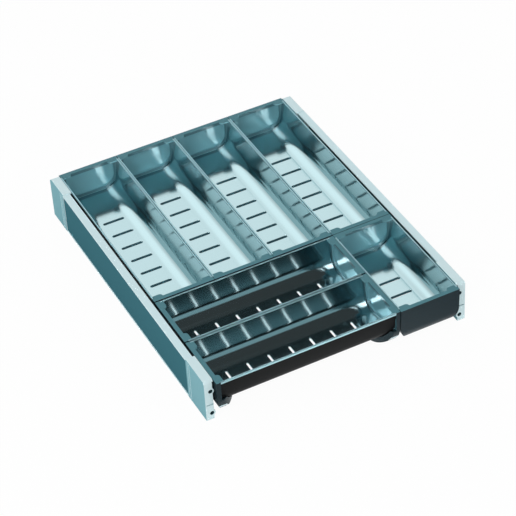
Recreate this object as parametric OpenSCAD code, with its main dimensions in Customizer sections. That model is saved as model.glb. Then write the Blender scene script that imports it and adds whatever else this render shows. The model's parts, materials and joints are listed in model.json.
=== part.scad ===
// Drawer insert for cutlery: seven U-shaped steel trays with moulded end caps,
// standing on flat crossbars between two side rails with moulded corner pieces.
// X runs across the insert, Y from front to back, Z up. Millimetres.
// The origin is on the floor, under the middle of the insert.

/* [Tray layout] */
// Spacing of the long trays across the insert
tray_pitch = 88; // [74:1:110]
// Gap between neighbouring trays
tray_gap = 0.6; // [0.4:0.1:2]
// Length of each long tray
long_len = 310; // [240:1:420]
// Gap between the two wide trays, and half of it before and behind them
wide_gap = 2.2; // [0.6:0.1:12]
// Gap between the front row and the long trays
row_gap = 0.8; // [0.5:0.1:4]
// Height of the tray rims above the drawer floor
rim_z = 63.3; // [58:0.1:90]

/* [Steel troughs] */
// Thickness of the steel sheet
sheet_t = 0.8; // [0.5:0.1:1.2]
// Height of the trough floor's upper face
floor_z = 17.7; // [14:0.1:22]
// Inner radius of the two long bends
bend_r = 24.5; // [16:0.5:28]
// Width of the rolled rim, with the wall under it
hem_w = 2.2; // [1.8:0.1:3]
// Height of the rolled rim
hem_h = 3.2; // [2:0.1:8]
// Length of the floor slots
slot_len = 34; // [16:1:34]
// Width of the floor slots
slot_w = 3; // [1.5:0.1:6]
// Spacing of the floor slots
slot_pitch = 30.5; // [20:0.5:32]
// Number of slots in a long tray
long_slots = 6; // [1:1:7]
// Number of slots in the small tray
small_slots = 2; // [1:1:3]
// Number of slots in a wide tray
wide_slots = 7; // [1:1:7]

/* [End caps] */
// Thickness of the cap's top bar, along the tray
cap_t = 6; // [5:0.1:9]
// Thickness of the cap's outer wall
plate_t = 2.5; // [1.5:0.1:3]
// Height of the cap's top bar
bar_h = 4.8; // [3:0.1:8]
// Gap between the cap and the steel that it holds
cap_fit = 0.2; // [0.1:0.05:0.3]
// Height of the cap's foot above the drawer floor
foot_z = 5.5; // [4:0.1:8]
// Radius of the foot's rounded outer edge, seen from the side
foot_r = 21.5; // [14:0.5:24]
// Setback of the outer face where that round starts
foot_setback = 1.3; // [0.5:0.1:3]
// Radius of the foot's two lower corners, seen from the end
foot_corner_r = 27; // [18:0.5:32]
// Length of the foot along its middle
foot_len = 35.5; // [34:0.5:44]
// How much the radius of the foot's inner end, seen from below, exceeds half the tray's width
foot_nose_excess = 6.3; // [2:0.1:26]
// How far the inner end slopes back below the trough
foot_slope = 4; // [1:0.5:6]
// Height of the foot's upper edge along the trough's sides
foot_top_z = 33; // [26:0.5:38]
// Width of the flat border beside the cap's dished face
border_side = 5.6; // [3:0.1:10]
// Height of the flat border below the dished face
border_low = 5.2; // [3:0.1:9]
// Depth of the dished face at its middle
dish_depth = 3; // [2:0.1:3.2]
// Depth of the step at its edge
dish_step = 1.5; // [0.6:0.1:1.8]
// Length of the lugs at the cap's top corners
lug_len = 13; // [8:0.5:18]
// Reach of those lugs over the tray
lug_reach = 4.6; // [3:0.1:7]
// Thickness of those lugs
lug_t = 2.4; // [1.5:0.1:3]

/* [Side rails] */
// Gap between the outer trays and the rail's top flange
rail_gap = 3; // [1.5:0.1:6]
// Width of the rail's top flange
flange_w = 10.5; // [8:0.1:20]
// Thickness of the rail's flanges
flange_t = 2; // [1.5:0.1:3]
// Thickness of the rail's web
web_t = 1.8; // [1.2:0.1:3]
// Setback of the web's outer face behind the flange's edge
web_setback = 1; // [0.5:0.1:2]
// Setback of the rails' front ends behind the trays
rail_setback = 9; // [2:0.5:20]

/* [Corner pieces] */
// Length of the front corner pieces
front_corner_len = 52; // [46:0.5:70]
// Length of the rear corner pieces
rear_corner_len = 44.8; // [40:0.1:60]
// How far the corner pieces rise above the rails
corner_rise = 0.7; // [0.3:0.1:2]
// How far their ribs stand out past the rails
rib_out = 0.5; // [0.2:0.1:1]
// Width of the ribs on their outer faces
rib_w = 1.6; // [1:0.1:2.5]
// Gap between the corner pieces and the outer trays
corner_gap = 0.6; // [0.4:0.1:1.2]
// Chamfer of the top edge at each free end
corner_chamfer = 3.5; // [1:0.1:6]
// Radius of the top outer edge
corner_edge_r = 2; // [1:0.1:3]
// Depth of the waist on the inner side
waist_in = 2; // [0.5:0.1:3]
// Diameter of the two bores in each free end
bore_d = 6; // [4:0.1:7]
// Depth of the lower bore
bore_low_depth = 12; // [8:0.5:20]
// Depth of the upper bore
bore_high_depth = 14; // [8:0.5:20]
// Height of the lower bore
bore_low_z = 10.2; // [9:0.1:14]
// Height of the upper bore
bore_high_z = 47; // [40:0.5:52]
// Wall between a bore and the inner face
bore_wall = 1.9; // [1.2:0.1:3]
// Height of the slit between the bores
slit_z = 24.7; // [19:0.1:32]
// Height of that slit's opening
slit_h = 1.8; // [1:0.1:3]
// Length of that slit
slit_len = 9; // [5:0.5:9]
// Depth of that slit
slit_depth = 4; // [2:0.5:8]
// Length of the plug inside the rail
plug_len = 18; // [10:1:30]
// Gap around the plug and the crossbar ends
plug_fit = 0.2; // [0.1:0.05:0.3]

/* [Crossbars] */
// Width of the crossbars
bar_w = 16; // [12:0.5:19]
// Gap between the crossbars and the feet above them
bar_fit = 0.3; // [0.2:0.05:0.5]
// Distance of the front crossbar behind the trays' front
front_bar_y = 38; // [34:0.5:40]
// How far the front crossbar's wing starts behind that front
wing_y = 19; // [18.5:0.5:20]

/* [Hidden] */
$fn = 96;

// Overrun of every cut
cut = 1;
// Number of long trays, and of pitches that a wide tray covers
long_count = 4;
wide_pitches = 3;

// Colours as the photograph shows them
steel = [0.75, 0.85, 0.87];
cap_plastic = [0.27, 0.44, 0.48];
rail_metal = [0.62, 0.76, 0.79];
corner_plastic = [0.76, 0.87, 0.89];
bar_metal = [0.55, 0.62, 0.64];

// Plan of the insert: the small tray is as long as the two wide trays beside it
wide_pitch_y = tray_pitch - tray_gap + wide_gap;
small_len = 2 * wide_pitch_y;
overall_len = small_len + row_gap + long_len;
front_y = -overall_len / 2;
rear_y = overall_len / 2;
long_y = front_y + small_len + row_gap;
half_span = long_count * tray_pitch / 2;
wide_x = -half_span;
wide_len = wide_pitches * tray_pitch - tray_gap;
small_x = half_span - tray_pitch / 2;

// Cross section of a tray, centred on x = 0
tray_half = (tray_pitch - tray_gap) / 2;
wall_half = tray_half - hem_w + sheet_t;
inner_half = wall_half - sheet_t;
outer_bend_r = bend_r + sheet_t;
under_z = floor_z - sheet_t;
bar_z = rim_z - bar_h;
foot_arc_y = foot_setback + foot_r;
foot_arc_z = foot_z + foot_r;
corner_axis_x = tray_half - foot_corner_r;
corner_axis_z = foot_z + foot_corner_r;
foot_nose_r = tray_half + foot_nose_excess;
// Depth of the steel's bend inside the cap's corner, at 45 degrees
corner_depth = foot_corner_r - outer_bend_r
    - (wall_half - outer_bend_r - corner_axis_x + corner_axis_z - under_z - outer_bend_r) / sqrt(2);

// Rails, measured from the middle plane
corner_in = half_span + corner_gap / 2;
flange_in = half_span + rail_gap;
flange_out = flange_in + flange_w;
web_out = flange_out - web_setback;
web_in = web_out - web_t;
corner_out = flange_out;
corner_z = rim_z + corner_rise;
rail_front = front_y + rail_setback + front_corner_len;
rail_rear = rear_y - rear_corner_len;
bore_x = corner_in + bore_d / 2 + bore_wall;
boss_r = bore_d / 2 + bore_wall;
rib_x = corner_out + rib_out - rib_w / 2;
rib_step = 3 * rib_w;

// Crossbars lie on the rails' lower flanges and in pockets of the corner pieces
crossbar_top = foot_z - bar_fit;
foot_mid = (foot_arc_y + foot_len - foot_slope) / 2;
small_rear_foot = front_y + small_len - foot_mid;
// The bar under the rear wide tray lies mostly in front of the small tray's rear foot
bar_shift_share = 0.4;
crossbar_y = [
    front_y + front_bar_y + bar_w / 2,
    small_rear_foot - bar_shift_share * bar_w,
    long_y + foot_mid,
    rear_y - foot_mid
];

// A 2D shape in X and Z, run along Y from 0
module along_y(len) {
    translate([0, len, 0]) rotate([90, 0, 0]) linear_extrude(len) children();
}

// A 2D shape in Y and Z, run along X to both sides of 0
module across_x(half) {
    translate([-half, 0, 0]) rotate([90, 0, 90]) linear_extrude(2 * half) children();
}

// A solid U with round lower corners
module u_shape(half, r, z_low, z_top) {
    translate([-half, z_low + r]) square([2 * half, z_top - z_low - r]);
    translate([-half + r, z_low]) square([2 * (half - r), r + cut]);
    for (side = [-1, 1]) intersection() {
        translate([side * (half - r), z_low + r]) circle(r);
        translate([-half, z_low]) square([2 * half, r]);
    }
}

// Section of the sheet: a U with a rolled rim on each wall
module trough_section() {
    difference() {
        union() {
            u_shape(wall_half, outer_bend_r, under_z, rim_z);
            for (x = [inner_half, -inner_half - hem_w])
                translate([x, rim_z - hem_h]) square([hem_w, hem_h]);
        }
        u_shape(inner_half, bend_r, floor_z, rim_z + cut);
    }
}

// One floor slot with round ends, across the trough
module slot() {
    straight = slot_len - slot_w;
    translate([0, 0, under_z - cut]) linear_extrude(sheet_t + 2 * cut) {
        square([straight, slot_w], center = true);
        for (side = [-1, 1]) translate([side * straight / 2, 0]) circle(slot_w / 2);
    }
}

// The space behind a cap's outer face, moved inwards by an inset. The face is drafted
// above and rounded below, and both lower corners are rounded again at 45 degrees
module cap_space(inset) {
    reach = foot_len + cut;
    high = 2 * rim_z;
    intersection() {
        across_x(tray_half + cut) {
            polygon([[inset, rim_z], [inset, rim_z + cut], [reach, rim_z + cut],
                [reach, foot_arc_z], [foot_setback + inset, foot_arc_z]]);
            translate([foot_arc_y, foot_arc_z]) circle(foot_r - inset);
            translate([foot_arc_y, foot_z + inset])
                square([reach - foot_arc_y, foot_arc_z - foot_z]);
        }
        for (side = [-1, 1]) translate([side * corner_axis_x, 0, corner_axis_z])
            rotate([0, -side * 45, 0]) across_x(high)
                translate([foot_arc_y, foot_arc_y - foot_corner_r]) {
                    circle(foot_arc_y - inset);
                    translate([inset - foot_arc_y, 0]) square([reach - inset, high]);
                    translate([0, inset - foot_arc_y]) square([reach - foot_arc_y, high]);
                }
    }
}

// How far in the steel starts at this depth inside a round of radius r
function steel_y(r, depth) =
    foot_arc_y - sqrt(pow(r - plate_t - cap_fit, 2) - pow(r - depth, 2));

// Side view of what a flat slanted cut takes off the steel, from this depth up to r
module slant(r, depth) {
    y = steel_y(r, depth);
    slope = (y - steel_y(r, r)) / (r - depth);
    polygon([[y + slope * (depth + rim_z), -rim_z], [y + slope * (depth - rim_z), rim_z],
        [-rim_z, rim_z], [-rim_z, -rim_z]]);
}

// What an end cap takes off the steel: its top bar, its outer wall and its rounds
module steel_end() {
    start = foot_setback + plate_t + cap_fit;
    for (end = [[start, 0], [cap_t + cap_fit, bar_z - cap_fit]])
        translate([-tray_half - cut, -cut, end[1]])
            cube([2 * (tray_half + cut), end[0] + cut, rim_z + cut]);
    translate([0, 0, foot_z]) across_x(tray_half + cut) slant(foot_r, under_z - foot_z);
    for (side = [-1, 1]) translate([side * corner_axis_x, 0, corner_axis_z])
        rotate([0, -side * 45, 0]) across_x(2 * rim_z)
            translate([0, -foot_corner_r]) slant(foot_arc_y, corner_depth);
}

// A steel trough for a tray of this length, along Y from 0
module trough(len, slots) {
    color(steel) difference() {
        along_y(len) trough_section();
        steel_end();
        translate([0, len, 0]) mirror([0, 1, 0]) steel_end();
        for (k = [0 : slots - 1])
            translate([0, len / 2 + (k - (slots - 1) / 2) * slot_pitch, 0]) slot();
    }
}

// What is taken out of the cap's inner face: a shallow dish with a step around it
module dish() {
    half = inner_half - border_side;
    low = floor_z + border_low;
    bow = dish_depth - dish_step;
    dish_r = (half * half + bow * bow) / (2 * bow);
    intersection() {
        along_y(cap_t + cut) u_shape(half, bend_r - border_side, low, bar_z);
        translate([0, cap_t + dish_r - dish_depth, low - cut])
            cylinder(r = dish_r, h = bar_z - low + 2 * cut, $fn = 360);
    }
}

// The plug that closes the end of the trough, with its dished face
module cap_plug() {
    difference() {
        intersection() {
            along_y(cap_t)
                u_shape(inner_half - cap_fit, bend_r - cap_fit, floor_z + cap_fit, bar_z + cut);
            cap_space(0);
        }
        dish();
    }
}

// Room inside a cap for the end of the steel, down to the cap's outer wall
module cap_seat() {
    intersection() {
        along_y(foot_len + cut)
            u_shape(wall_half + cap_fit, outer_bend_r + cap_fit, under_z - cap_fit, bar_z);
        cap_space(plate_t);
    }
}

// Outline of the foot: rounded inner end, sloping below the trough
module foot_outline() {
    intersection() {
        along_y(foot_len) u_shape(tray_half, foot_corner_r, foot_z, rim_z);
        cap_space(0);
        union() {
            translate([0, foot_len - foot_nose_r, under_z])
                cylinder(r = foot_nose_r, h = rim_z, $fn = 180);
            translate([0, foot_len - foot_nose_r, foot_z])
                cylinder(r = foot_nose_r - foot_slope, h = rim_z, $fn = 180);
        }
    }
}

// A lug at one top corner of the cap, rounded at its inner end
module cap_lug() {
    reach_x = inner_half - cap_fit;
    translate([0, cap_t, rim_z - lug_t]) linear_extrude(lug_t) {
        translate([reach_x - lug_len + lug_reach, 0]) square([lug_len - lug_reach, lug_reach]);
        intersection() {
            translate([reach_x - lug_len + lug_reach, 0]) circle(lug_reach);
            translate([reach_x - lug_len, 0]) square([2 * lug_reach, lug_reach]);
        }
    }
}

// A moulded end cap at y = 0, with the tray behind it
module end_cap() {
    color(cap_plastic) union() {
        difference() {
            foot_outline();
            translate([-tray_half - cut, cap_t, foot_top_z])
                cube([2 * (tray_half + cut), foot_len, rim_z]);
            cap_seat();
        }
        cap_plug();
        for (side = [0, 1]) mirror([side, 0, 0]) cap_lug();
    }
}

// The same cap at the far end of a tray of this length
module far_cap(len) {
    translate([0, len, 0]) mirror([0, 1, 0]) end_cap();
}

// Places of the trays: the children stand along Y from 0 and are moved there
module at_long(index) {
    translate([-half_span + (index - 0.5) * tray_pitch, long_y, 0]) children();
}

module at_wide(row) {
    translate([wide_x + tray_gap / 2, front_y + (row + 0.5) * wide_pitch_y, 0])
        rotate([0, 0, -90]) children();
}

module at_small() {
    translate([small_x, front_y, 0]) children();
}

// Side rail: web, top flange and lower flange with an outer lip, on the right side
module rail() {
    color(rail_metal) translate([0, rail_front, 0]) along_y(rail_rear - rail_front) {
        translate([web_in, 0]) square([web_t, rim_z]);
        translate([flange_in, rim_z - flange_t]) square([flange_w, flange_t]);
        translate([flange_in, 0]) square([flange_w, flange_t]);
    }
}

// Section of a corner piece: round top outer edge, waist and bore bosses inside
module corner_section() {
    waist_x = corner_in + waist_in;
    translate([waist_x, 0]) square([corner_out - waist_x, corner_z - corner_edge_r]);
    translate([waist_x, 0]) square([corner_out - corner_edge_r - waist_x, corner_z]);
    translate([corner_out - corner_edge_r, corner_z - corner_edge_r]) circle(corner_edge_r);
    for (z = [bore_low_z, bore_high_z]) translate([bore_x, z]) circle(boss_r);
}

// Pocket in a corner piece for the end of a crossbar centred at this y
module bar_pocket(y) {
    translate([corner_in - cut, y - bar_w / 2 - plug_fit, flange_t - plug_fit])
        cube([web_in - corner_in + cut + plug_fit, bar_w + 2 * plug_fit,
            crossbar_top - flange_t + 2 * plug_fit]);
}

// Corner piece of this length on the right side, free end at y = 0, rail end behind
module corner_piece(len, pocket_y) {
    chamfer_top = corner_z - corner_chamfer;
    color(corner_plastic) difference() {
        union() {
            along_y(len) corner_section();
            // A strip along the top reaches in to the trays
            translate([corner_in, 0, rim_z - flange_t])
                cube([corner_out - corner_in - corner_edge_r, len, flange_t + corner_rise]);
            // The plug fills the rail's channel
            translate([flange_in + plug_fit, len, flange_t + plug_fit])
                cube([web_in - flange_in - 2 * plug_fit, plug_len,
                    rim_z - 2 * flange_t - 2 * plug_fit]);
            // Two ribs stand on the outer face beside the rail
            for (k = [1, 2]) translate([rib_x, len - k * rib_step, 0])
                cylinder(d = rib_w, h = corner_z - corner_edge_r, $fn = 24);
        }
        for (bore = [[bore_low_z, bore_low_depth], [bore_high_z, bore_high_depth]])
            translate([bore_x, bore[1], bore[0]]) rotate([90, 0, 0])
                cylinder(d = bore_d, h = bore[1] + cut, $fn = 48);
        translate([corner_out - slit_len - waist_in, -cut, slit_z - slit_h / 2])
            cube([slit_len, slit_depth + cut, slit_h]);
        // Chamfer along the top of the free end
        translate([corner_in - cut, 0, chamfer_top]) rotate([-45, 0, 0])
            translate([0, -corner_chamfer, -corner_chamfer])
                cube([corner_out - corner_in + 2 * cut, corner_chamfer, 3 * corner_chamfer]);
        bar_pocket(pocket_y);
    }
}

// The left side is the mirror of the right one
module left_side() {
    mirror([1, 0, 0]) children();
}

module front_corner() {
    start = front_y + rail_setback;
    translate([0, start, 0]) corner_piece(front_corner_len, crossbar_y[0] - start);
}

module rear_corner() {
    translate([0, rear_y, 0]) mirror([0, 1, 0])
        corner_piece(rear_corner_len, rear_y - crossbar_y[3]);
}

// Flat crossbar at this place, on the lower flanges of both rails
module crossbar(y) {
    translate([-web_in, y - bar_w / 2, flange_t])
        cube([2 * web_in, bar_w, crossbar_top - flange_t]);
}

// Front crossbar: a wing reaches forward under the small tray's front foot
module crossbar_front() {
    wing_half = corner_axis_x;
    color(bar_metal) union() {
        crossbar(crossbar_y[0]);
        translate([small_x - wing_half, front_y + wing_y, flange_t])
            cube([2 * wing_half, front_bar_y - wing_y + cut, crossbar_top - flange_t]);
    }
}

module plain_crossbar(index) {
    color(bar_metal) crossbar(crossbar_y[index]);
}

left_side() rail();  // rail_left
rail();  // rail_right
left_side() front_corner();  // corner_front_left
front_corner();  // corner_front_right
left_side() rear_corner();  // corner_rear_left
rear_corner();  // corner_rear_right
crossbar_front();
plain_crossbar(1);  // crossbar_wide_tray
plain_crossbar(2);  // crossbar_middle
plain_crossbar(3);  // crossbar_rear
at_long(1) trough(long_len, long_slots);  // long_trough_1
at_long(2) trough(long_len, long_slots);  // long_trough_2
at_long(3) trough(long_len, long_slots);  // long_trough_3
at_long(4) trough(long_len, long_slots);  // long_trough_4
at_long(1) end_cap();  // long_cap_front_1
at_long(2) end_cap();  // long_cap_front_2
at_long(3) end_cap();  // long_cap_front_3
at_long(4) end_cap();  // long_cap_front_4
at_long(1) far_cap(long_len);  // long_cap_rear_1
at_long(2) far_cap(long_len);  // long_cap_rear_2
at_long(3) far_cap(long_len);  // long_cap_rear_3
at_long(4) far_cap(long_len);  // long_cap_rear_4
at_wide(0) trough(wide_len, wide_slots);  // wide_front_trough
at_wide(0) end_cap();  // wide_front_cap_left
at_wide(0) far_cap(wide_len);  // wide_front_cap_right
at_wide(1) trough(wide_len, wide_slots);  // wide_rear_trough
at_wide(1) end_cap();  // wide_rear_cap_left
at_wide(1) far_cap(wide_len);  // wide_rear_cap_right
at_small() trough(small_len, small_slots);  // small_trough
at_small() end_cap();  // small_cap_front
at_small() far_cap(small_len);  // small_cap_rear
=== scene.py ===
"""A drawer insert for cutlery: seven polished steel trays between two pale side rails."""
import json
import math
import bmesh
import bpy
from mathutils import Matrix, Vector

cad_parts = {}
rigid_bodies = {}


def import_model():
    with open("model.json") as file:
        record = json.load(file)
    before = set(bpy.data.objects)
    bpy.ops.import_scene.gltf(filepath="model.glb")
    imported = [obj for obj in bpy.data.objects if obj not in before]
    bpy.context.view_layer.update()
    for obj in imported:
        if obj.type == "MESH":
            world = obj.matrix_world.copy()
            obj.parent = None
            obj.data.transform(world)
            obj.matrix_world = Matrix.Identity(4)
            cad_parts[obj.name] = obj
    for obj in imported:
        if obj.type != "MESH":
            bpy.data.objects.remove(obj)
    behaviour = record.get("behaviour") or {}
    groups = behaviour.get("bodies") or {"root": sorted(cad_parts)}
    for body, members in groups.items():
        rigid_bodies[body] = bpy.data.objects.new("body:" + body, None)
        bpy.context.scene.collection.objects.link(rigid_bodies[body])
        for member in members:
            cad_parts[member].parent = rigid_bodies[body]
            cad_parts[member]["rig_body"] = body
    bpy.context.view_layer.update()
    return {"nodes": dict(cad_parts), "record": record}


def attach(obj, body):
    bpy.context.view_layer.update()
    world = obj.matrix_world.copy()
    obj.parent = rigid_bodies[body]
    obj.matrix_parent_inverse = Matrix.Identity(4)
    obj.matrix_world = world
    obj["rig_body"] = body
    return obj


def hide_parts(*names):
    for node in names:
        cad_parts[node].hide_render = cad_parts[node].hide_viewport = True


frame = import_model()
MM = 0.001

# Sizes in millimetres and counts, as in the part's source
COLUMNS, PITCH, GAP = 4, 88.0, 0.6
LONG_LEN, SMALL_LEN, ROW_GAP = 310.0, 179.2, 0.8
RIM_Z, FLOOR_Z = 63.3, 17.7
INNER_HALF, FLAT_HALF = 41.5, 17.0
HEM_W, HEM_H = 2.2, 3.2
SLOT_W, SLOT_PITCH = 3.0, 30.5
LONG_SLOTS, WIDE_SLOTS, SMALL_SLOTS = 6, 7, 2
CAP_T, BAR_Z, CAP_FIT = 6.0, 58.5, 0.2
STEEL_START = 4.0
FRONT_Y = -(SMALL_LEN + ROW_GAP + LONG_LEN) / 2
LONG_Y = FRONT_Y + SMALL_LEN + ROW_GAP
WIDE_LEN = (COLUMNS - 1) * PITCH - GAP

# The sheet as it is pressed: thinner than the solids' and with walls that lean outwards
SHEET = 0.6
BEND_R, BEND_TURN, TOP_LEAN = 22.0, math.radians(80.8), math.radians(3.0)
BEND_STEPS, WALL_STEPS, RIM_STEPS = 24, 8, 10
# Extra edge loops in the floor beside the bends and in the wall under the rim
FLOOR_LOOP, RIM_LOOP = 0.5, 0.4

# The slots' round ends, how far they stay inside the flat, and the floor cut around a slot
SLOT_SEGMENTS, SLOT_END, SLOT_MARGIN = 24, 0.6, 0.6
# Width and drop of each step of a slot's rolled edge
SLOT_EDGE = ((0.4, 0.0), (0.05, 0.01), (0.08, 0.05), (0.07, 0.12))

# Slanted cuts below a trough's ends: turn about Y in degrees, a point in the cut, its slope
SLANTS = ((0, (0, 6.9, FLOOR_Z - 0.8), 0.30),
          (45, (35.4, 8.6, 24.3), 0.45),
          (-45, (-35.4, 8.6, 24.3), 0.45))

# How near a height counts as that height, and how far up a level face's normal points
SAME_Z, LEVEL = 0.01, 0.999
# How near a vertex counts as lying on a slot's cut
CUT_SNAP = 0.0001
# Where the rim's finish starts: below the rolled edge, and outside the wall's inner face
RIM_BELOW, RIM_BESIDE = 0.5, 0.05


# Colours and nodes

def hexa(code):
    """sRGB hex to linear RGBA."""
    def lin(c):
        return c / 12.92 if c <= 0.04045 else ((c + 0.055) / 1.055) ** 2.4
    return tuple(lin(int(code[i:i + 2], 16) / 255) for i in (0, 2, 4)) + (1.0,)


def add(tree, kind, links=None, **settings):
    """Adds one node. Settings name its properties or, failing that, its input sockets."""
    node = tree.nodes.new("ShaderNode" + kind)
    for key, value in settings.items():
        if hasattr(node, key):
            setattr(node, key, value)
        else:
            node.inputs[key.replace("_", " ")].default_value = value
    for key, source in (links or {}).items():
        socket = node.inputs[key if isinstance(key, int) else key.replace("_", " ")]
        tree.links.new(source, socket)
    return node


def times(tree, a, b):
    """The product of a node's output and a number or another output."""
    node = add(tree, "Math", {0: a}, operation="MULTIPLY")
    if isinstance(b, float):
        node.inputs[1].default_value = b
    else:
        tree.links.new(b, node.inputs[1])
    return node.outputs[0]


def new_material(name):
    mat = bpy.data.materials.new(name)
    mat.use_nodes = True
    tree = mat.node_tree
    tree.nodes.clear()
    return mat, tree


def surface(name, color, roughness, bump, metallic=0.0, **more):
    """A Principled material with an object-space bump: noise scale per metre, and height."""
    mat, tree = new_material(name)
    scale, height = bump
    place = add(tree, "TexCoord")
    noise = add(tree, "TexNoise", {"Vector": place.outputs["Object"]}, Scale=scale, Detail=3.0)
    relief = add(tree, "Bump", {"Height": noise.outputs["Fac"]}, Strength=1.0, Distance=height)
    shader = add(tree, "BsdfPrincipled", {"Normal": relief.outputs["Normal"]},
                 Base_Color=hexa(color), Roughness=roughness, Metallic=metallic, **more)
    add(tree, "OutputMaterial", {"Surface": shader.outputs[0]})
    return mat


# Materials

# Bumps: faint waves from forming, the grain of rolled metal, a mould's gloss and its fine grain
FORMED, ROLLED = (14.0, 0.000005), (900.0, 0.00001)
GLOSSY_MOULD, MOULDED = (60.0, 0.00004), (1400.0, 0.00001)

# Stainless steel sheet, cold rolled and polished: a cool mirror with faint waves from forming
steel = surface("polished_stainless_steel", "A5BEC2", 0.12, FORMED, 1.0)
# The same steel in the wide trays, set a little darker: painted shade for their darker reflections
shaded_steel = surface("shaded_polished_stainless_steel", "95ADB2", 0.12, FORMED, 1.0)
# The rolled rims of all the trays, left satin by the rolling
rim_steel = surface("satin_rolled_rim", "9CC2CA", 0.42, ROLLED, 1.0)
# The sheet's outer side, painted nearly black: painted shade standing in for the dark reflections of
# the polished steel there. The sheet's outer side, which the photo doesn't show, taken as coated
# dark
outer_painted_shade = surface("sheet_outer_side_painted_shade", "0D0F10", 0.75, ROLLED, Specular_IOR_Level=0.1)
# Punched edges of the slots in the long and small trays, painted dark teal: painted shade inside the
# slots
slot_edge_painted_shade = surface("punched_edge_painted_shade", "4F7A86", 0.6, ROLLED, Specular_IOR_Level=0.1)
# The same edges in the wide trays, painted near white: painted light for the bright ground seen
# through their slots
slot_edge_painted_light = surface("bright_punched_edge", "E6F2F4", 0.5, ROLLED)
# ABS end caps, moulded with a gloss finish: dark teal grey
cap_abs = surface("gloss_moulded_abs", "6C9EA9", 0.2, GLOSSY_MOULD)
# The flat border round a cap's dish, the same ABS painted darker: painted shade
cap_border_painted_shade = surface("shaded_border_moulded_abs", "3F6771", 0.3, GLOSSY_MOULD)
# The caps' top edges and lugs, the same ABS, satin, painted darker: painted shade against the light
# from above
cap_top_painted_shade = surface("shaded_top_moulded_abs", "4A7D87", 0.45, MOULDED, Specular_IOR_Level=0.2)
# The caps' outer faces, the same ABS, matt and painted very dark: painted shade on faces turned to
# the dim front
cap_outside_painted_shade = surface("shaded_outer_moulded_abs", "17282E", 0.55, MOULDED, Specular_IOR_Level=0.12)
# Anodised aluminium rail, satin, with its web painted darker: painted shade on the rail's upright
# faces
rail_alu = surface("anodised_aluminium", "D0EAEF", 0.5, MOULDED)
rail_web_painted_shade = surface("anodised_aluminium_web_painted_shade", "41727D", 0.5, MOULDED, Specular_IOR_Level=0.0)
# Pale polypropylene corner pieces with a fine moulded grain
corner_pp = surface("pale_moulded_polypropylene", "D2EAEE", 0.5, MOULDED)
# Their upright sides, the same plastic, duller and painted darker: painted shade
corner_side_painted_shade = surface("shaded_side_moulded_polypropylene", "84B3BC", 0.6, MOULDED,
                      Specular_IOR_Level=0.0)
# The bores' walls, painted dark: painted shade inside the bores
bore_painted_shade = surface("shaded_bore_moulded_polypropylene", "35555C", 0.7, MOULDED, Specular_IOR_Level=0.1)
# Plain aluminium bars underneath
bar_alu = surface("mill_finish_aluminium", "8FA0A5", 0.4, ROLLED, 1.0)

# Each kind of piece: the width of its eased edges and its materials, in slot order
LOOKS = {"cap": (0.4, [cap_abs, cap_outside_painted_shade, cap_top_painted_shade, cap_border_painted_shade]),
         "rail": (0.3, [rail_alu, rail_web_painted_shade]),
         "corner": (0.5, [corner_pp, corner_side_painted_shade, bore_painted_shade]),
         "bar": (0.3, [bar_alu])}
CAP_INSIDE, CAP_OUTSIDE, CAP_TOP, CAP_BORDER = range(4)
RAIL_FLANGE, RAIL_WEB = range(2)
CORNER_FACE, CORNER_SIDE, CORNER_BORE = range(3)
SHEET_INNER, SHEET_OUTER, SHEET_EDGE, SHEET_RIM = range(4)


# Mesh helpers

def finish_mesh(name, bm, mats, place, angle):
    """Turns a bmesh in millimetres into an object in metres at its place."""
    bmesh.ops.transform(bm, matrix=Matrix.Scale(MM, 4) @ place, verts=bm.verts)
    mesh = bpy.data.meshes.new(name)
    bm.to_mesh(mesh)
    bm.free()
    mesh.polygons.foreach_set("use_smooth", [True] * len(mesh.polygons))
    mesh.set_sharp_from_angle(angle=math.radians(angle))
    for mat in mats:
        mesh.materials.append(mat)
    obj = bpy.data.objects.new(name, mesh)
    bpy.context.scene.collection.objects.link(obj)
    return obj


def only(kind, geom):
    """The mesh parts of one kind."""
    return [part for part in geom if isinstance(part, kind)]


def pull(bm, edges, vec):
    """Extrudes edges by a vector and returns what is new."""
    new = bmesh.ops.extrude_edge_only(bm, edges=edges)["geom"]
    bmesh.ops.translate(bm, vec=vec, verts=only(bmesh.types.BMVert, new))
    return new


def slice_mesh(bm, point, normal, clear=False):
    """Cuts the mesh along a plane and, if asked, drops what lies beyond it."""
    bmesh.ops.bisect_plane(bm, geom=bm.verts[:] + bm.edges[:] + bm.faces[:],
                           plane_co=point, plane_no=normal, clear_outer=clear)


# Steel troughs

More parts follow.
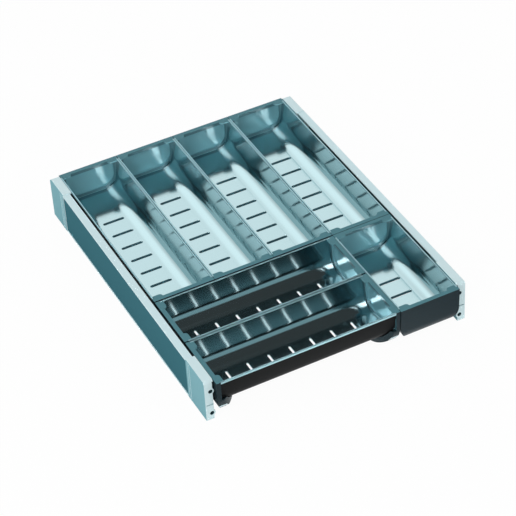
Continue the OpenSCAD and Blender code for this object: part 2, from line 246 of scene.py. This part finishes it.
def rounded_sheet(length):
    """The sheet's inner face: floor, two bends and two walls, with rims rolled outwards."""
    bm = bmesh.new()
    rim_r = HEM_W / 2
    top = RIM_Z - rim_r
    bend_top = BEND_R * (1 - math.cos(BEND_TURN))
    wall_r = (top - FLOOR_Z - bend_top) / (math.cos(BEND_TURN) - math.sin(TOP_LEAN))
    starts = [bm.verts.new((side * FLAT_HALF, 0, FLOOR_Z)) for side in (-1, 1)]
    bm.edges.new(starts)
    for side, start in zip((-1, 1), starts):
        bend = Vector((side * FLAT_HALF, 0, FLOOR_Z + BEND_R))
        inward = Vector((-side * math.sin(BEND_TURN), 0, math.cos(BEND_TURN)))
        last = bmesh.ops.spin(bm, geom=[start], cent=bend, axis=(0, -1, 0),
                              angle=side * BEND_TURN, steps=BEND_STEPS)["geom_last"]
        bmesh.ops.spin(bm, geom=last, cent=bend + inward * (wall_r - BEND_R), axis=(0, -1, 0),
                       angle=side * (math.pi / 2 - TOP_LEAN - BEND_TURN), steps=WALL_STEPS)
    pull(bm, bm.edges[:], (0, length, 0))
    flat = FLAT_HALF - FLOOR_LOOP
    slice_mesh(bm, (0, 0, top - RIM_LOOP), (0, 0, 1))
    slice_mesh(bm, (flat, 0, 0), (1, 0, 0))
    slice_mesh(bm, (-flat, 0, 0), (1, 0, 0))
    for side in (-1, 1):
        rim = [e for e in bm.edges
               if all(v.co.z > top - SAME_Z and v.co.x * side > 0 for v in e.verts)]
        turned = bmesh.ops.spin(bm, geom=rim, cent=(side * (INNER_HALF + rim_r), 0, top),
                                axis=(0, 1, 0), angle=side * math.pi,
                                steps=RIM_STEPS)["geom_last"]
        pull(bm, only(bmesh.types.BMEdge, turned), (0, 0, rim_r - HEM_H))
    return bm


def floor_faces(bm):
    return [f for f in bm.faces
            if abs(f.normal.z) > LEVEL and abs(f.calc_center_median().z - FLOOR_Z) < SAME_Z]


def cut_slots(bm, length, count, roll, lip_depth):
    """Slots across the floor with round ends, their edges rolled down into lips.

    The rolled edge makes each slot's mouth wider than the slot by roll on each side."""
    half = FLAT_HALF - SLOT_END
    wide = SLOT_W / 2 + roll
    centres = [length / 2 + (k - (count - 1) / 2) * SLOT_PITCH for k in range(count)]
    for y in centres:
        for side in (-1, 1):
            floor = floor_faces(bm)
            verts = {v for f in floor for v in f.verts}
            edges = {e for f in floor for e in f.edges}
            bmesh.ops.bisect_plane(bm, geom=list(verts | edges) + floor, dist=CUT_SNAP,
                                   plane_co=(0, y + side * (wide + SLOT_MARGIN), 0),
                                   plane_no=(0, 1, 0))
    for y in centres:
        middle = Vector((0, y, FLOOR_Z))
        patch = min(floor_faces(bm), key=lambda f: (f.calc_center_median() - middle).length)
        border = patch.edges[:]
        bmesh.ops.delete(bm, geom=[patch], context="FACES_ONLY")
        # A circle, half a segment round, whose halves move apart into the slot's outline
        turn = Matrix.Translation(middle) @ Matrix.Rotation(math.pi / SLOT_SEGMENTS, 4, "Z")
        ends = bmesh.ops.create_circle(bm, cap_ends=True, radius=wide, segments=SLOT_SEGMENTS,
                                       matrix=turn)["verts"]
        for side in (-1, 1):
            bmesh.ops.translate(bm, vec=(side * (half - wide), 0, 0),
                                verts=[v for v in ends if v.co.x * side > 0])
        mouth = ends[0].link_faces[0]
        mouth.normal_update()
        if mouth.normal.z < 0:
            bmesh.ops.reverse_faces(bm, faces=[mouth])
        bmesh.ops.triangle_fill(bm, edges=border + mouth.edges[:], use_beauty=True,
                                normal=(0, 0, 1))
        for inset, drop in SLOT_EDGE:
            bmesh.ops.inset_region(bm, faces=[mouth], thickness=inset, depth=-drop,
                                   use_even_offset=True)
        edges = mouth.edges[:]
        bmesh.ops.delete(bm, geom=[mouth], context="FACES_ONLY")
        # The lips take the slot-edge material, with painted shade or painted light by tray
        for face in only(bmesh.types.BMFace, pull(bm, edges, (0, 0, -lip_depth))):
            face.material_index = SHEET_EDGE


def trim_ends(bm, length):
    """Ends cut to fit inside the caps: notched for the top bar, slanted below."""
    slice_mesh(bm, (0, STEEL_START, 0), (0, -1, 0), clear=True)
    slice_mesh(bm, (0, length - STEEL_START, 0), (0, 1, 0), clear=True)
    for sign, end in ((1, 0), (-1, length)):
        for angle, (x, y, z), slope in SLANTS:
            turn = Matrix.Rotation(math.radians(-angle), 3, "Y")
            normal = turn @ Vector((0, -1, -slope))
            slice_mesh(bm, (x, end + sign * y, z), (normal.x, sign * normal.y, normal.z),
                       clear=True)
    notch_z = BAR_Z - CAP_FIT
    notch_y = CAP_T + CAP_FIT
    slice_mesh(bm, (0, 0, notch_z), (0, 0, 1))
    slice_mesh(bm, (0, notch_y, 0), (0, 1, 0))
    slice_mesh(bm, (0, length - notch_y, 0), (0, 1, 0))

    def in_notch(face):
        mid = face.calc_center_median()
        return mid.z > notch_z and not notch_y < mid.y < length - notch_y

    bmesh.ops.delete(bm, geom=[f for f in bm.faces if in_notch(f)], context="FACES")


def make_trough(body, node, length, slots, kind, place):
    """One trough as a sheet with its thickness, on its tray's body."""
    bm = rounded_sheet(length)
    trim_ends(bm, length)
    cut_slots(bm, length, slots, kind["roll"], kind["lip"])
    bmesh.ops.recalc_face_normals(bm, faces=bm.faces)
    floor = max((f for f in bm.faces if abs(f.normal.z) > LEVEL), key=lambda f: f.calc_area())
    if floor.normal.z < 0:
        bmesh.ops.reverse_faces(bm, faces=bm.faces)
    bm.normal_update()
    bmesh.ops.solidify(bm, geom=bm.faces[:], thickness=SHEET)
    hem_low = RIM_Z - HEM_H - RIM_BELOW
    for face in bm.faces:
        mid = face.calc_center_median()
        outwards = face.normal.dot(mid - Vector((0, mid.y, RIM_Z))) > 0
        # Outward faces below the rolled rim take the near-black painted shade
        if mid.z < hem_low and face.material_index == SHEET_INNER and outwards:
            face.material_index = SHEET_OUTER
        elif abs(mid.x) > INNER_HALF + RIM_BESIDE and mid.z > hem_low:
            face.material_index = SHEET_RIM
    mats = [kind["steel"], outer_painted_shade, kind["edge"], rim_steel]
    obj = finish_mesh(node + "_sheet", bm, mats, place, angle=50)
    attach(obj, body)
    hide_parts(node)


def at(x, y):
    return Matrix.Translation((x, y, 0))


# What the wide trays have of their own: steel, slot edges, their roll and the lips' depth
# The wide trays take the steel with painted shade and slot edges with painted light
WIDE_KIND = {"steel": shaded_steel, "edge": slot_edge_painted_light, "roll": 0.6, "lip": 1.1}
# The long and small trays take slot edges with painted shade
OTHER_KIND = {"steel": steel, "edge": slot_edge_painted_shade, "roll": 1.3, "lip": 4.0}
TRAY_TURN = Matrix.Rotation(math.radians(-90), 4, "Z")

for i in range(1, COLUMNS + 1):
    make_trough("long_tray_%d" % i, "long_trough_%d" % i, LONG_LEN, LONG_SLOTS, OTHER_KIND,
                at((i - (COLUMNS + 1) / 2) * PITCH, LONG_Y))
for k, row in enumerate(("front", "rear")):
    corner = at(-COLUMNS / 2 * PITCH + GAP / 2, FRONT_Y + (k + 0.5) * SMALL_LEN / 2)
    make_trough("wide_%s_tray" % row, "wide_%s_trough" % row, WIDE_LEN, WIDE_SLOTS, WIDE_KIND,
                corner @ TRAY_TURN)
make_trough("small_tray", "small_trough", SMALL_LEN, SMALL_SLOTS, OTHER_KIND,
            at((COLUMNS - 1) / 2 * PITCH, FRONT_Y))


# Pieces with eased edges

# Edges sharper than this, in degrees, are eased
EASE_ANGLE = 30.0
# Vertices nearer than this, in metres, are one, and faces turned by less than this, in
# degrees, are one flat face
MERGE_DIST, FLAT_ANGLE = 0.000002, 0.5
# How far a face looks along a direction, as a cosine
STRAIGHT, MAINLY, HALFWAY, HARDLY = 0.9, 0.7, 0.5, 0.2
# How far a cap's inside reaches past the plate and past the trough's inner face, how near
# the plate's back its border lies, and how far below the rim its top edges end and its
# border begins
DISH_REACH, WALL_MARGIN, BORDER_NEAR, TOP_DROP, BORDER_DROP = 6.0, 0.1, 0.2, 1.0, 3.0
# Height of the rails' flanges, with a margin
FLANGE_H = 2.5
# A bore's radius and depth, with a margin
BORE_R, BORE_REACH = 3.2, 8
BORES = [Vector(m["pos_m"]) / MM for m in frame["record"]["mounts"]
         if m["name"].startswith("bore")]
# Middle of a cap's dish above the tray's floor, and the rounding of the dish's edge
DISH_MID_Z, DISH_ROUND = FLOOR_Z + 27.5, 0.9


def paint_rail(bm):
    for face in bm.faces:
        # Upright faces of the web take the darker painted shade
        web = (abs(face.normal.x) > STRAIGHT
               and FLANGE_H < face.calc_center_median().z < RIM_Z - FLANGE_H)
        face.material_index = RAIL_WEB if web else RAIL_FLANGE


def in_bore(face):
    """Whether a face of a corner piece lies on the wall or the bottom of a bore."""
    return any(all(abs(abs(v.co.y) - abs(bore.y)) < BORE_REACH
                   and math.hypot(v.co.x - bore.x, v.co.z - bore.z) < BORE_R
                   for v in face.verts) for bore in BORES)


def paint_corner(bm):
    for face in bm.faces:
        # Faces turned sideways take the darker painted shade
        upright = CORNER_SIDE if abs(face.normal.x) > MAINLY else CORNER_FACE
        # Faces inside a bore take the dark painted shade
        face.material_index = CORNER_BORE if in_bore(face) else upright


def paint_cap(bm, node):
    """Gives a cap's faces their materials and rounds the edge of its dish."""
    along = 0 if node.startswith("wide") else 1
    across = 1 - along
    far = node.startswith(("long_cap_rear", "small_cap_rear")) or node.endswith("right")
    sign = 1 if far else -1
    lo = [min(v.co[k] for v in bm.verts) for k in (0, 1)]
    hi = [max(v.co[k] for v in bm.verts) for k in (0, 1)]
    middle = (lo[across] + hi[across]) / 2
    for face in bm.faces:
        mid = face.calc_center_median()
        outward = face.normal[along] * sign
        depth = hi[along] - mid[along] if far else mid[along] - lo[along]
        within = (depth < CAP_T + DISH_REACH and mid.z > FLOOR_Z
                  and abs(mid[across] - middle) < INNER_HALF + WALL_MARGIN)
        # Upward faces at the top take the darker painted shade
        if face.normal.z > STRAIGHT and mid.z > RIM_Z - TOP_DROP:
            face.material_index = CAP_TOP
        # The dish's border takes the darker painted shade
        elif (abs(depth - CAP_T) < BORDER_NEAR and outward < -STRAIGHT
              and mid.z < RIM_Z - BORDER_DROP):
            face.material_index = CAP_BORDER
        elif within and outward < HARDLY:
            face.material_index = CAP_INSIDE
        # All remaining outer faces take the very dark painted shade
        else:
            face.material_index = CAP_OUTSIDE

    # The dish's edge: where the border meets a step that faces the dish's middle
    hub = Vector((0, 0, DISH_MID_Z))
    hub[across] = middle
    dish_edge = []
    for edge in bm.edges:
        faces = sorted(edge.link_faces, key=lambda f: f.material_index)
        if [f.material_index for f in faces] != [CAP_INSIDE, CAP_BORDER]:
            continue
        step = faces[0]
        inward = hub - step.calc_center_median()
        inward[along] = 0
        if step.normal.dot(inward) > 0 and abs(step.normal[along]) < HALFWAY:
            dish_edge.append(edge)
    bmesh.ops.bevel(bm, geom=dish_edge, offset=DISH_ROUND, offset_type="OFFSET", segments=3,
                    profile=0.5, affect="EDGES", material=CAP_INSIDE, clamp_overlap=True)


def eased_copy(node, mats, width):
    """A copy of a CAD node with its doubles merged and its sharp edges rounded."""
    source = frame["nodes"][node]
    bm = bmesh.new()
    bm.from_mesh(source.data)
    bmesh.ops.remove_doubles(bm, verts=bm.verts, dist=MERGE_DIST)
    bmesh.ops.dissolve_limit(bm, angle_limit=math.radians(FLAT_ANGLE), verts=bm.verts, edges=bm.edges,
                             use_dissolve_boundaries=False)
    bmesh.ops.scale(bm, vec=(1 / MM, 1 / MM, 1 / MM), verts=bm.verts)
    if node.startswith("rail"):
        paint_rail(bm)
    elif "cap" in node:
        paint_cap(bm, node)
    elif node.startswith("corner"):
        paint_corner(bm)
    obj = finish_mesh(node + "_piece", bm, mats, Matrix.Identity(4), EASE_ANGLE)
    bevel = obj.modifiers.new("edge", "BEVEL")
    bevel.width = width * MM
    bevel.segments = 2
    bevel.limit_method = "ANGLE"
    bevel.angle_limit = math.radians(EASE_ANGLE)
    bevel.harden_normals = True
    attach(obj, source["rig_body"])
    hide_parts(node)
    return obj


def kind_of(node):
    if node.startswith(("rail", "corner")):
        return node.split("_")[0]
    return "cap" if "cap" in node else "bar"


for node in frame["nodes"]:
    if "trough" not in node:
        kind = kind_of(node)
        width, mats = LOOKS[kind]
        eased_copy(node, mats, width)


# Floor, light and camera

FLOOR_HALF = 6000
# The share of the floor that camera and metal see as plain white, whatever lights it
FLOOR_WHITE = 0.965
# Polished metal sees the floor this much brighter near the middle: full inside the first
# radius and none beyond the second, in metres
NEAR_GLOW, NEAR_FULL, NEAR_NONE = 2.6, 0.27, 0.34


def make_floor():
    """A pale floor, brighter under the insert for polished metal alone."""
    bm = bmesh.new()
    bmesh.ops.create_grid(bm, x_segments=1, y_segments=1, size=FLOOR_HALF)
    mat, tree = new_material("pale_studio_floor")
    diffuse = add(tree, "BsdfDiffuse", Color=hexa("F4F6F6"))
    path = add(tree, "LightPath")
    place = add(tree, "TexCoord")
    far = add(tree, "VectorMath", {0: place.outputs["Object"]}, operation="LENGTH")
    near = add(tree, "MapRange", {"Value": far.outputs["Value"]},
               From_Min=NEAR_NONE, From_Max=NEAR_FULL)
    glossy = times(tree, near.outputs[0], path.outputs["Is Glossy Ray"])
    level = add(tree, "MapRange", {"Value": glossy}, To_Min=1.0, To_Max=NEAR_GLOW)
    glow = add(tree, "Emission", {"Strength": level.outputs[0]}, Color=hexa("FFFFFF"))
    seen = add(tree, "Math", {0: path.outputs["Is Camera Ray"],
                              1: path.outputs["Is Glossy Ray"]},
               operation="ADD", use_clamp=True)
    white = times(tree, seen.outputs[0], FLOOR_WHITE)
    mix = add(tree, "MixShader", {0: white, 1: diffuse.outputs[0], 2: glow.outputs[0]})
    add(tree, "OutputMaterial", {"Surface": mix.outputs[0]})
    floor = finish_mesh("floor", bm, [mat], at(0, 0), angle=35)


def make_world():
    """A dim studio with its lights for polished metal, and a soft even fill for the rest."""
    world = bpy.data.worlds.new("studio")
    bpy.context.scene.world = world
    world.use_nodes = True
    tree = world.node_tree
    tree.nodes.clear()
    place = add(tree, "TexCoord")
    axes = add(tree, "SeparateXYZ", {"Vector": place.outputs["Generated"]})

    def lobe(direction, edge, core):
        """1 inside an angle of core degrees around a direction, 0 beyond edge."""
        dot = add(tree, "VectorMath", {0: place.outputs["Generated"]}, operation="DOT_PRODUCT")
        dot.inputs[1].default_value = Vector(direction).normalized()
        return add(tree, "MapRange", {"Value": dot.outputs["Value"]},
                   interpolation_type="SMOOTHSTEP", From_Min=math.cos(math.radians(edge)),
                   From_Max=math.cos(math.radians(core))).outputs[0]

    def ramp(axis, start, end):
        """0 to 1 between two values of a direction's axis."""
        return add(tree, "MapRange", {"Value": axes.outputs[axis]},
                   interpolation_type="SMOOTHSTEP", From_Min=start, From_Max=end).outputs[0]

    def plus(a, b):
        return add(tree, "Math", {0: a, 1: b}, operation="ADD").outputs[0]

    # How strong polished metal sees each light, and the dim room round them
    panel_light, window_light, softbox_light = 1.34, 0.24, 21.0
    overhead_light, room_light = 0.25, 0.08
    # A broad panel behind, which fades to the front, the zenith, the horizon and the left
    panel = times(tree, ramp("Y", 0.30, 0.62), ramp("Z", 0.88, 0.72))
    panel = times(tree, panel, ramp("Z", 0.02, 0.25))
    panel = times(tree, panel, panel_light)
    panel = times(tree, panel, ramp("X", -1.0, -0.40))
    # A faint window in it, a strong small softbox in front, and a little light overhead
    window = times(tree, lobe((-0.21, 0.69, 0.69), edge=24.0, core=4.0), window_light)
    softbox = times(tree, lobe((-0.29, -0.62, 0.70), edge=19.0, core=7.0), softbox_light)
    overhead = times(tree, ramp("Z", 0.95, 1.0), overhead_light)
    lights = plus(plus(plus(panel, window), softbox), overhead)
    level = add(tree, "Math", {0: lights}, operation="ADD")
    level.inputs[1].default_value = room_light
    metal = add(tree, "Background", {"Strength": level.outputs[0]}, Color=hexa("FFFFFF"))
    fill = add(tree, "MapRange", {"Value": axes.outputs["Z"]}, From_Min=0.35, From_Max=1.0,
               To_Min=1.0, To_Max=0.55)
    soft = add(tree, "Background", {"Strength": fill.outputs[0]}, Color=hexa("FFFFFF"))
    path = add(tree, "LightPath")
    mix = add(tree, "MixShader", {0: path.outputs["Is Glossy Ray"], 1: soft.outputs[0],
                                  2: metal.outputs[0]})
    add(tree, "OutputWorld", {"Surface": mix.outputs[0]})


def make_key_light():
    """A small square lamp from the front left, aimed at the insert."""
    direction, distance, side, power = Vector((-0.75, -0.55, 0.75)), 2.2, 0.7, 6.0
    lamp = bpy.data.lights.new("key", "AREA")
    lamp.shape = "RECTANGLE"
    lamp.size = lamp.size_y = side
    lamp.energy = power
    obj = bpy.data.objects.new("key", lamp)
    bpy.context.scene.collection.objects.link(obj)
    aim = direction.normalized()
    obj.location = aim * distance
    obj.rotation_euler = aim.to_track_quat("Z", "Y").to_euler()


def make_camera():
    """The photo's camera, from the fit: angles in degrees, distance and target in metres."""
    azimuth, elevation, roll = (math.radians(a) for a in (-25.252, 40.116, -3.672))
    distance, target = 2.87084, Vector((0.002557, -0.009636, 0.020))
    focal_px, width_px, sensor = 2124.028, 516, 36.0
    back = Vector((math.sin(azimuth) * math.cos(elevation),
                   -math.cos(azimuth) * math.cos(elevation), math.sin(elevation)))
    right = (-back).cross(Vector((0, 0, 1))).normalized()
    up = right.cross(-back).normalized()
    turned_right = math.cos(roll) * right + math.sin(roll) * up
    turned_up = -math.sin(roll) * right + math.cos(roll) * up
    data = bpy.data.cameras.new("camera")
    data.sensor_width = sensor
    data.lens = focal_px * sensor / width_px
    data.clip_start, data.clip_end = 0.05, 50.0
    camera = bpy.data.objects.new("camera", data)
    rotation = Matrix((turned_right, turned_up, back)).transposed().to_4x4()
    camera.matrix_world = Matrix.Translation(target + back * distance) @ rotation
    bpy.context.scene.collection.objects.link(camera)
    bpy.context.scene.camera = camera


make_floor()
make_world()
make_key_light()
make_camera()
bpy.context.scene.view_settings.view_transform = "Standard"
